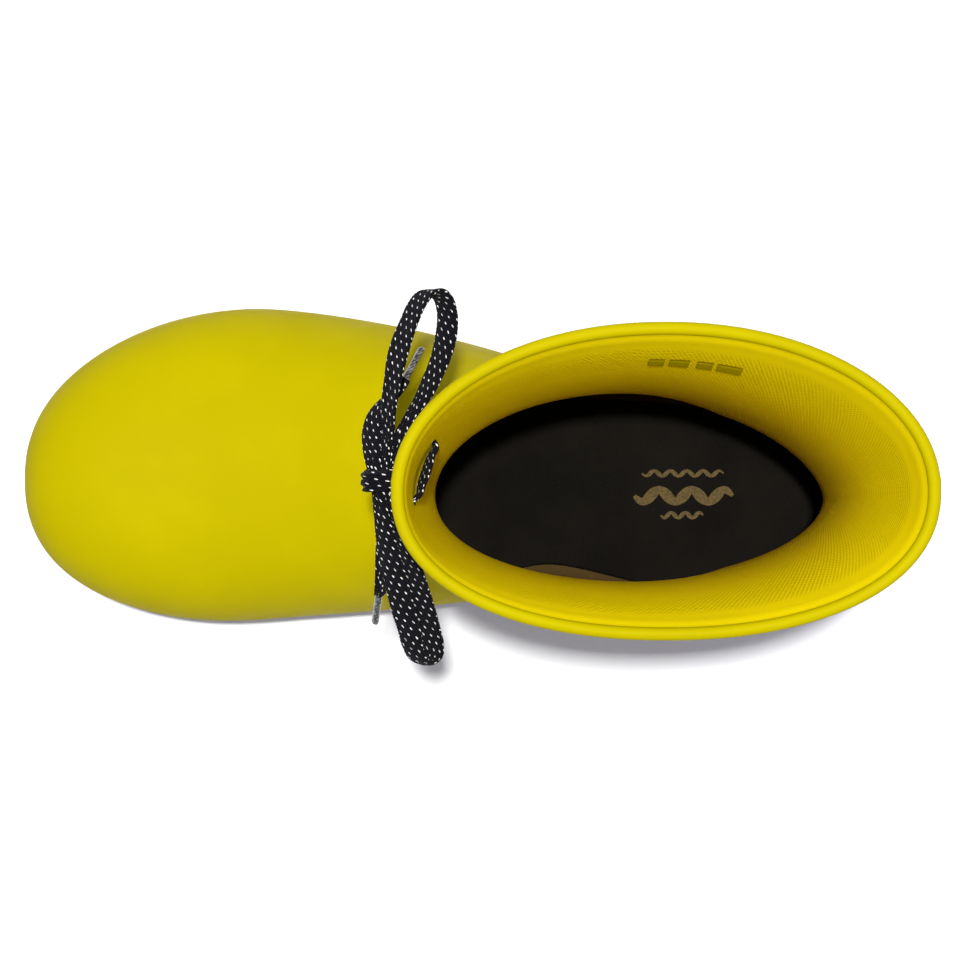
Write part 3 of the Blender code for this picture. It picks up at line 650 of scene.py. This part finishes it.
def edge_of(room, start, direction, halvings=HALVINGS):
    """The points where rays from start leave the room, by halving."""
    inside = np.zeros(direction.shape[:-1])
    outside = np.full(direction.shape[:-1], RAY_LENGTH)
    for _ in range(halvings):
        middle = (inside + outside) / 2
        point = start + direction * middle[..., None]
        within = room(point[..., 0], point[..., 1], point[..., 2]) > 0
        inside, outside = np.where(within, middle, inside), np.where(within, outside, middle)
    return start + direction * inside[..., None]


def end_along_x(room, level, inside, outside):
    """Where a room ends between an x inside it and one outside, at a level that follows x."""
    for _ in range(HALVINGS):
        middle = (inside + outside) / 2
        within = room(middle, follow(FOOT_CENTRE_Y, middle), level(middle)) > 0
        inside, outside = (middle, outside) if within else (inside, middle)
    return inside


def side_to_side(room, x, z):
    """The room's two side walls at each x and z."""
    start = np.stack([x, follow(FOOT_CENTRE_Y, x), z], -1)
    across = np.broadcast_to((0.0, 1.0, 0.0), start.shape)
    return edge_of(room, start, -across), edge_of(room, start, across)


def widest_level(x):
    return WIDEST_Z + toe_spring(x)


def spread(line, count):
    """Places along a dense line that share out its length and its turning evenly."""
    step = np.diff(line, axis=0)
    length = np.linalg.norm(step, axis=1)
    way = step / length[:, None]
    turn = np.arccos(np.clip((way[1:] * way[:-1]).sum(1), -1, 1))
    turn = np.append(turn, 0) + np.append(0, turn)
    share = length / length.sum() + TURN_SHARE * turn / turn.sum()
    measure = np.append(0, np.cumsum(share))
    return np.interp(np.linspace(0, measure[-1], count), measure, np.linspace(0, 1, len(line)))


def fan_frames(turns):
    """Ring frames between the foot and the shaft, swung round the pivot over the instep."""
    angle = math.pi / 2 * turns
    reach = follow(FAN_CENTRE, turns)
    x, z = PIVOT_X - reach * np.sin(angle), PIVOT_Z - reach * np.cos(angle)
    aspect = FOOT_ASPECT + (SHAFT_ASPECT - FOOT_ASPECT) * turns
    blend = ease(0.0, 0.3, turns)
    y = follow(FOOT_CENTRE_Y, x) * (1 - blend) + follow(SHAFT_CENTRE_Y, z) * blend
    return np.stack([x, y, z, np.sin(angle), np.cos(angle), aspect], -1)


def ring_frames(room, tip_x, top_z):
    """Centre, forward axis and aspect of each ring, from the toe's tip to the top of the shaft."""
    foot_rings, fan_rings, shaft_rings = SHELL_RINGS
    start_z = PIVOT_Z - FAN_CENTRE[0][1]
    from_tip = ((np.arange(foot_rings) + 0.2) / (foot_rings + 0.2)) ** 2
    x = tip_x + (PIVOT_X - tip_x) * from_tip
    z = widest_level(tip_x) + (start_z - widest_level(tip_x)) * from_tip
    foot = [x, follow(FOOT_CENTRE_Y, x), z, 0 * z, 1 + 0 * z, FOOT_ASPECT + 0 * z]
    dense = fan_frames(np.linspace(0, 1, 300))
    back = edge_of(room, dense[:, :3], np.stack([-dense[:, 3], 0 * dense[:, 3], -dense[:, 4]], -1))
    fan = fan_frames(spread(back, fan_rings + 1)[:-1])
    z = PIVOT_Z + (top_z - PIVOT_Z) * np.linspace(0, 1, shaft_rings + 1) ** 0.85
    x = (follow(SHAFT_FRONT_X, z) + follow(SHAFT_BACK_X, z)) / 2
    shaft = [x, follow(SHAFT_CENTRE_Y, z), z, 1 + 0 * z, 0 * z, SHAFT_ASPECT + 0 * z]
    return np.concatenate([np.stack(foot, -1), fan, np.stack(shaft, -1)])


def rays_of(frames, turn):
    """Directions from each ring's centre, turned from its forward axis towards +Y."""
    forward = frames[:, 5:6] * np.cos(turn)
    return unit(np.stack([frames[:, 3:4] * forward, np.sin(turn), frames[:, 4:5] * forward], -1))


def rings_of(room, tip_x, top_z):
    """Closed rings of points on a skin, toe first, closer together where the skin turns."""
    frames = ring_frames(room, tip_x, top_z)
    half = np.broadcast_to(np.linspace(0, math.pi, 240), (len(frames), 240))
    turns = []
    for side in (0, 1):
        dense = edge_of(room, frames[:, None, :3], rays_of(frames, half + side * math.pi), halvings=20)
        shares = np.array([spread(line, SHELL_POINTS // 2 + 1)[:-1] for line in dense])
        turns.append((side + shares) * math.pi)
    return edge_of(room, frames[:, None, :3], rays_of(frames, np.concatenate(turns, 1)))


def rim_rings(outer, inner, count):
    """Rings of the rolled rim, from the outer skin's last ring over to the inner skin's."""
    middle, half = (outer + inner) / 2, (outer - inner) / 2
    up = np.array((0, 0, np.linalg.norm(half, axis=-1).mean()))
    angles = [math.pi * i / count for i in range(1, count)]
    return np.array([middle + half * math.cos(a) + up * math.sin(a) for a in angles])


def wall_x(room, y):
    """Where the shaft's front wall is at the slots' height."""
    start = np.array((follow(SHAFT_FRONT_X, SLOT_Z) - 30, y, SLOT_Z))
    return edge_of(room, start, np.array((1.0, 0.0, 0.0)))[0]


# ---------------------------------------- shell


def slot_cutter(y, arc_steps=16):
    """An upright bar with round ends, through the front wall."""
    radius, straight = SLOT_WIDTH / 2, (SLOT_HEIGHT - SLOT_WIDTH) / 2
    outline = []
    for side in (1, -1):
        middle_z = SLOT_Z + side * straight
        for i in range(arc_steps + 1):
            angle = math.pi * i / arc_steps + (0 if side > 0 else math.pi)
            outline.append((y + radius * math.cos(angle), middle_z + radius * math.sin(angle)))
    front = follow(SHAFT_FRONT_X, SLOT_Z)
    points = [(x, *p) for x in (front + 14, front - 24) for p in outline]
    count = len(outline)
    faces = [(j, (j + 1) % count, count + (j + 1) % count, count + j) for j in range(count)]
    faces += [tuple(range(count - 1, -1, -1)), tuple(range(count, 2 * count))]
    mesh = bpy.data.meshes.new("slot_cutter")
    mesh.from_pydata((np.array(points) * MM).tolist(), [], faces)
    cutter = bpy.data.objects.new("slot_cutter", mesh)
    bpy.context.scene.collection.objects.link(cutter)
    return cutter


def cut_slots(piece):
    """Cuts both slots for good and takes the cutters away."""
    cutters = [slot_cutter(y) for y in SLOT_Y]
    for cutter in cutters:
        boolean = piece.modifiers.new("slot", "BOOLEAN")
        boolean.operation, boolean.solver, boolean.object = "DIFFERENCE", "EXACT", cutter
    bpy.context.view_layer.update()
    depsgraph = bpy.context.evaluated_depsgraph_get()
    mesh = bpy.data.meshes.new_from_object(piece.evaluated_get(depsgraph), depsgraph=depsgraph)
    piece.modifiers.clear()
    piece.data = mesh
    for cutter in cutters:
        bpy.data.objects.remove(cutter)


def build_shell():
    """The moulded foam upper, shaft, rolled rim and midsole, as one closed skin."""
    tips = [end_along_x(room, widest_level, BALL_X, TOE_X + 5) for room in (outer_skin, cavity)]
    top = RIM_Z - follow(WALL, RIM_Z) / 2
    outer, inner = (rings_of(room, tip, top) for room, tip in zip((outer_skin, cavity), tips))
    # the mould's parting line: a fine ridge over the vamp and down the back
    out = unit(outer - outer.mean(axis=1, keepdims=True))
    ridge = np.zeros(SHELL_POINTS)
    ridge[0] = ridge[SHELL_POINTS // 2] = PARTING_RIDGE
    outer = outer + out * ridge[None, :, None]
    rings = np.concatenate([outer, rim_rings(outer[-1], inner[-1], BEAD_RINGS), inner[::-1]])
    rows = len(rings)
    ends = [(tip, follow(FOOT_CENTRE_Y, tip), widest_level(tip)) for tip in tips]
    points = np.concatenate([rings.reshape(-1, 3), np.array(ends)])
    fall = np.append(0, np.cumsum(np.linalg.norm(np.diff(rings, axis=0), axis=2).mean(axis=1)))
    round_mm = np.linspace(0, TEXTURE_GIRTH, SHELL_POINTS + 1)
    faces, uv, slots = [], [], []
    for quad in grid_faces(rows, SHELL_POINTS, True):
        faces.append(tuple(r * SHELL_POINTS + j % SHELL_POINTS for r, j in quad))
        uv.append(tuple((round_mm[j], fall[r]) for r, j in quad))
        slots.append(1 if quad[0][0] >= len(outer) + BEAD_RINGS - 1 else 0)
    for slot, row in ((0, 0), (1, rows - 1)):
        for j in range(SHELL_POINTS):
            pair = (row * SHELL_POINTS + j, row * SHELL_POINTS + (j + 1) % SHELL_POINTS)
            faces.append((*pair, len(points) - 1) if slot else (len(points) - 2, *pair[::-1]))
            uv.append(((0, fall[row]),) * 3)
            slots.append(slot)
    shell = build("boot_upper", points, faces, uv, [FOAM, FOAM_INSIDE_PAINTED_LIGHT_AND_SHADE], slots)
    cut_slots(shell)
    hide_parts("boot_shell")


build_shell()


# ---------------------------------------- inside run of the lace


# Each row: share of the way from slot to slot, lean (degrees), slack off the wall.
INSIDE_RUN = ((0.08, 2, 0), (0.27, 10, 0.3), (0.5, 15, 0.5), (0.73, 11, 0.3), (0.92, 2, 0))


def build_inside_run():
    """The lace's run behind the wall, with both ends through the slots."""
    (y0, y1), lift = SLOT_Y, LACE_THICKNESS / 2 + 0.25
    fronts = [wall_x(outer_skin, y) for y in SLOT_Y]
    backs = [wall_x(cavity, y) for y in SLOT_Y]
    keys = [(fronts[0] - 0.2, y0, SLOT_Z, 0, 0.9), (backs[0] + 1.2, y0, SLOT_Z, 0, 0.9)]
    for share, lean, slack in INSIDE_RUN:
        y = y0 + (y1 - y0) * share
        off = lift + slack + LACE_WIDTH / 2 * math.sin(math.radians(lean))
        keys.append((wall_x(cavity, y) - off, y, SLOT_Z, lean, 1))
    keys += [(backs[1] + 1.2, y1, SLOT_Z, 0, 0.9), (fronts[1] - 0.2, y1, SLOT_Z, 0, 0.9)]
    piece, _, _ = lace("lace_run_inside", keys, 0.1)
    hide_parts("lace_inside_run")
    return piece


inside_run = build_inside_run()

# ---------------------------------------- footbed

CUSHION_Z, COVER_Z = (0.9, 4.2), (4.3, 5.5)
FOOTBED_CLEARANCE, FOOTBED_EDGE = 0.6, 0.9
CUP_RISE, CUP_WIDTH, CUP_X = 0.55, 16, (-60, -20)
FOOTBED_GAP, GAP_X, GAP_REACH = 3.8, -43.0, 27.0


def footbed_gap(x):
    """How far the footbed stops short of the inner side's wall beside the arch."""
    return FOOTBED_GAP * np.clip(1 - ((x - GAP_X) / GAP_REACH) ** 2, 0, 1)


def footbed_layer(name, levels, materials):
    """A layer between two heights above the cavity's floor, round at its upper edge, cupped at the heel.

    Returns the piece, its width and length, and its area.
    """

    def room(x, y, z):
        return cavity(x, y, z, FOOTBED_CLEARANCE)

    stations, columns, lead = 150, 90, 0.03
    share = (1 - np.cos(np.pi * (np.arange(stations) + lead) / (stations - 1 + 2 * lead))) / 2
    low, high = levels
    first = end_along_x(room, lambda x: floor_height(x) + low, 0.0, -TOE_X)
    last = end_along_x(room, lambda x: floor_height(x) + low, 0.0, TOE_X)
    x = first + (last - first) * share
    left, right = side_to_side(room, x, floor_height(x) + low)
    right[:, 1] -= footbed_gap(x)
    across = (1 - np.cos(np.linspace(0, np.pi, columns))) / 2
    y = left[:, 1:2] + (right[:, 1:2] - left[:, 1:2]) * across[None]
    inward = np.minimum(y - left[:, 1:2], right[:, 1:2] - y)
    inward = np.minimum(inward, np.minimum(x - first, last - x)[:, None])
    cup = CUP_RISE * (1 - ease(0, CUP_WIDTH, inward)) * (1 - ease(*CUP_X, x))[:, None]
    fall = FOOTBED_EDGE * (1 - quarter_round(inward / FOOTBED_EDGE))
    base = floor_height(x)[:, None] + 0 * y
    top = base + high + cup - fall
    bottom = base + low
    grid_x = x[:, None] + 0 * y
    points = np.concatenate([np.stack([grid_x, y, z], -1).reshape(-1, 3) for z in (top, bottom)])
    size = stations * columns
    faces, uv = [], []
    flat = np.append(0, np.cumsum(np.diff(x)))
    for quad in grid_faces(stations, columns, False):
        faces.append(tuple(r * columns + j for r, j in reversed(quad)))
        uv.append(tuple((y[r, j], flat[r]) for r, j in reversed(quad)))
        faces.append(tuple(size + r * columns + j for r, j in quad))
        uv.append(tuple((y[r, j], flat[r]) for r, j in quad))
    rim = grid_rim(stations, columns)
    for (r, j), (s, k) in zip(rim, rim[1:] + rim[:1]):
        a, b = r * columns + j, s * columns + k
        faces.append((a, b, size + b, size + a))
        uv.append(((y[r, j], flat[r]), (y[s, k], flat[s]), (y[s, k], flat[s]), (y[r, j], flat[r])))
    piece = build(name, points, faces, uv, materials)
    area = float(np.sum((right[1:, 1] - left[1:, 1]) * np.diff(x)))
    return piece, (float(y.max() - y.min()), float(last - first)), area


cushion, _, _ = footbed_layer("footbed_cushion", CUSHION_Z, [FOOTBED_FOAM])
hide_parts("insole_cushion")
cover, (cover_width, cover_length), cover_area = footbed_layer("footbed_cover", COVER_Z, [KNIT])
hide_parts("insole_cover")


PRINT_Z = (0.16, -0.1)  # upper and lower face of the print, from the cover's upper face
# Each row: middle y, swing, half width, waves, first x, last x.
WAVES = (
    (3.2, 0.9, 0.75, 5, -68.6, -96.6),
    (10.9, 2.0, 1.9, 3.0, -66.0, -99.8),
    (17.6, 0.9, 0.75, 3, -75.0, -89.6),
)


def cover_top(x):
    """Height of the cover's upper face away from its edges."""
    return floor_height(x) + COVER_Z[1]


def print_strip(points_xy, half_width):
    """Corners of a thin closed strip that follows a line on the cover."""
    line = np.array(points_xy, float)
    way = unit(np.gradient(line, axis=0))
    side = np.stack([-way[:, 1], way[:, 0]], -1)
    left, right = line + side * half_width[:, None], line - side * half_width[:, None]
    upper, lower = PRINT_Z
    rings = []
    for a, b in zip(left, right):
        za, zb = cover_top(a[0]), cover_top(b[0])
        rings.append([(*a, za + upper), (*b, zb + upper), (*b, zb + lower), (*a, za + lower)])
    return np.array(rings)


def build_print():
    """A plain emblem of three waves on the heel of the footbed."""
    points, faces, rows = [], [], 160
    from_end = np.minimum(np.arange(rows), np.arange(rows)[::-1])
    for centre_y, swing, half, waves, first, last in WAVES:
        x = np.linspace(first, last, rows)
        phase = np.linspace(0, 2 * math.pi * waves, rows)
        taper = np.clip(from_end / 14, 0.12, 1) ** 0.5
        width = half * taper * (0.86 + 0.14 * np.cos(phase * 2))
        rings = print_strip(np.stack([x, centre_y + swing * np.sin(phase)], -1), width)
        base = len(points)
        points += rings.reshape(-1, 3).tolist()
        for quad in grid_faces(rows, 4, True):
            faces.append(tuple(base + r * 4 + j % 4 for r, j in reversed(quad)))
        faces.append((base, base + 1, base + 2, base + 3))
        faces.append(tuple(base + (rows - 1) * 4 + j for j in (3, 2, 1, 0)))
    emblem = build("footbed_print", points, faces, None, [INK], smooth=False)
    return emblem


emblem = build_print()


SIZE_BARS_X, SIZE_BARS_Z = ((-61.5, -66.3), (-67.4, -73.4), (-75.4, -80.2), (-81.2, -88.6)), (161.5, 170.5)
BAR_PROUD, BAR_EDGE, BAR_SUNK = 0.42, 0.7, 0.05


def build_size_bars():
    """Plain raised bars on the outer side of the shaft's inner wall, where a size would be moulded."""
    points, faces = [], []
    low, high = SIZE_BARS_Z
    rows, columns = 26, 12
    for first, last in SIZE_BARS_X:
        base = len(points)
        x = np.linspace(first, last, rows)[:, None] + 0 * np.zeros(columns)[None]
        z = np.linspace(low, high, columns)[None] + 0 * x
        start = np.stack([x, follow(SHAFT_CENTRE_Y, z), z], -1)
        wall = edge_of(cavity, start, np.broadcast_to((0.0, -1.0, 0.0), start.shape))
        border = np.minimum(np.minimum(np.arange(rows), np.arange(rows)[::-1])[:, None] * 0.3,
                            np.minimum(np.arange(columns), np.arange(columns)[::-1])[None] * 0.4)
        proud = BAR_PROUD * quarter_round(border / BAR_EDGE) - BAR_SUNK
        front = wall + proud[..., None] * np.array((0, 1.0, 0))
        back = wall - np.array((0, 0.6, 0))
        points += front.reshape(-1, 3).tolist() + back.reshape(-1, 3).tolist()
        size = rows * columns
        for quad in grid_faces(rows, columns, False):
            corners = [r * columns + j for r, j in quad]
            faces.append(tuple(base + c for c in corners))
            faces.append(tuple(base + size + c for c in reversed(corners)))
        ring = [base + r * columns + j for r, j in grid_rim(rows, columns)]
        for a, b in zip(ring, ring[1:] + ring[:1]):
            faces.append((a, b, size + b, size + a)[::-1])
    # the bars take the outer foam, without the inner wall's painted light, so they read darker than the
    # wall round them
    bars = build("size_bars", points, faces, None, [FOAM])


build_size_bars()

# ---------------------------------------- rubber pads

PAD_INSET, HEEL_FRONT_X, FOREFOOT_BACK_X = 4.6, -62.0, -4.0
PAD_TOP, PAD_GAP, PAD_EDGE, PAD_SPACING = SOLE_Z, 0.3, 0.7, 0.34
GROOVE_PITCH, GROOVE_DEPTH, GROOVE_HALF = 4.2, 1.5, (0.28, 0.62)
WAVE_SWING, WAVE_LENGTH = 1.5, 11


def tread(x, y, left, right):
    """How deep the tread is cut at a point: wavy grooves across it, inside a plain border."""
    border = ease(2.2, 3.0, np.minimum(y - left, right - y))
    place = (x + WAVE_SWING * np.sin(y * 2 * math.pi / WAVE_LENGTH)) / GROOVE_PITCH
    away = np.abs(place - np.round(place)) * GROOVE_PITCH
    return GROOVE_DEPTH * (1 - ease(*GROOVE_HALF, away)) * border


def build_tread_pad(name, node, straight_x, tip_x):
    """A rubber pad under the sole, straight at one end and round at the other, with wavy cuts."""

    def room(x, y, z):
        return body(x, y, z, PAD_INSET)

    tip = end_along_x(room, sole_height, straight_x, tip_x)
    first, last = min(tip, straight_x), max(tip, straight_x)
    count = int((last - first) / PAD_SPACING)
    line = np.linspace(0, 1, count)
    ease_in = 1 - (1 - line) ** 2 if tip > straight_x else line**2
    line = 0.75 * line + 0.25 * ease_in
    x = first + (last - first) * np.clip(line, 0.0004, 0.9996)
    left, right = side_to_side(room, x, SOLE_Z + toe_spring(x))
    left, right = left[:, 1:2], right[:, 1:2]
    columns = int(float((right - left).max()) / PAD_SPACING)
    y = left + (right - left) * np.linspace(0, 1, columns)[None]
    spring = toe_spring(x)[:, None]
    inward = np.minimum(np.minimum(y - left, right - y), np.minimum(x - first, last - x)[:, None])
    corner = PAD_EDGE * (1 - quarter_round(inward / PAD_EDGE))
    ends = ease(2.0, 3.0, np.minimum(x - first, last - x))[:, None]
    bottom = spring + np.maximum(tread(x[:, None], y, left, right) * ends, corner)
    top = spring + PAD_TOP - PAD_GAP + 0 * y
    grid_x = x[:, None] + 0 * y
    points = np.concatenate([np.stack([grid_x, y, z], -1).reshape(-1, 3) for z in (top, bottom)])
    size, faces = count * columns, []
    for quad in grid_faces(count, columns, False):
        faces.append(tuple(size + r * columns + j for r, j in quad))
    ring = [r * columns + j for r, j in grid_rim(count, columns)]
    for a, b in zip(ring, ring[1:] + ring[:1]):
        faces.append((a, b, size + b, size + a))
    # the bonded upper face is one strip between the long sides
    for r in range(count - 1):
        faces.append((r * columns, (r + 1) * columns, (r + 2) * columns - 1, (r + 1) * columns - 1)[::-1])
    used = sorted({i for face in faces for i in face})
    number = {old: new for new, old in enumerate(used)}
    faces = [tuple(number[i] for i in face) for face in faces]
    pad = build(name, points[used], faces, None, [RUBBER], smooth=False)
    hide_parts(node)


build_tread_pad("tread_heel", "outsole_heel", HEEL_FRONT_X, -TOE_X)
build_tread_pad("tread_forefoot", "outsole_forefoot", FOREFOOT_BACK_X, TOE_X)

# ---------------------------------------- floor and light

bpy.ops.mesh.primitive_plane_add(size=6, location=(0, 0, 0))
ground = bpy.context.object
ground.name = "floor"
ground.data.materials.append(floor_paint("floor_paint"))

world = bpy.data.worlds.new("studio")
world.use_nodes = True
world.node_tree.nodes["Background"].inputs["Color"].default_value = (1, 1, 1, 1)
world.node_tree.nodes["Background"].inputs["Strength"].default_value = 0.31
bpy.context.scene.world = world


def area_light(name, place, aim, size, power):
    light = bpy.data.lights.new(name, "AREA")
    light.shape, light.size, light.size_y, light.energy = "RECTANGLE", size[0], size[1], power
    lamp = bpy.data.objects.new(name, light)
    lamp.location = place
    way = np.array(aim) - np.array(place)
    lamp.rotation_euler = (math.acos(-way[2] / np.linalg.norm(way)), 0, math.atan2(way[0], -way[1]))
    bpy.context.scene.collection.objects.link(lamp)


area_light("key", (0.0, -0.165, 2.2), (0, 0, 0.05), (0.1, 0.1), 72)
area_light("side_a", (0.0, -1.5, 1.2), (0, 0, 0.12), (1.4, 0.7), 2)
area_light("side_b", (0.0, 1.4, 1.4), (0, 0, 0.12), (1.4, 0.7), 42)
area_light("side_c", (1.6, 0.0, 1.2), (0, 0, 0.12), (0.7, 1.4), 7)
area_light("side_d", (-1.6, 0.0, 1.2), (0, 0, 0.12), (0.7, 1.4), 3)
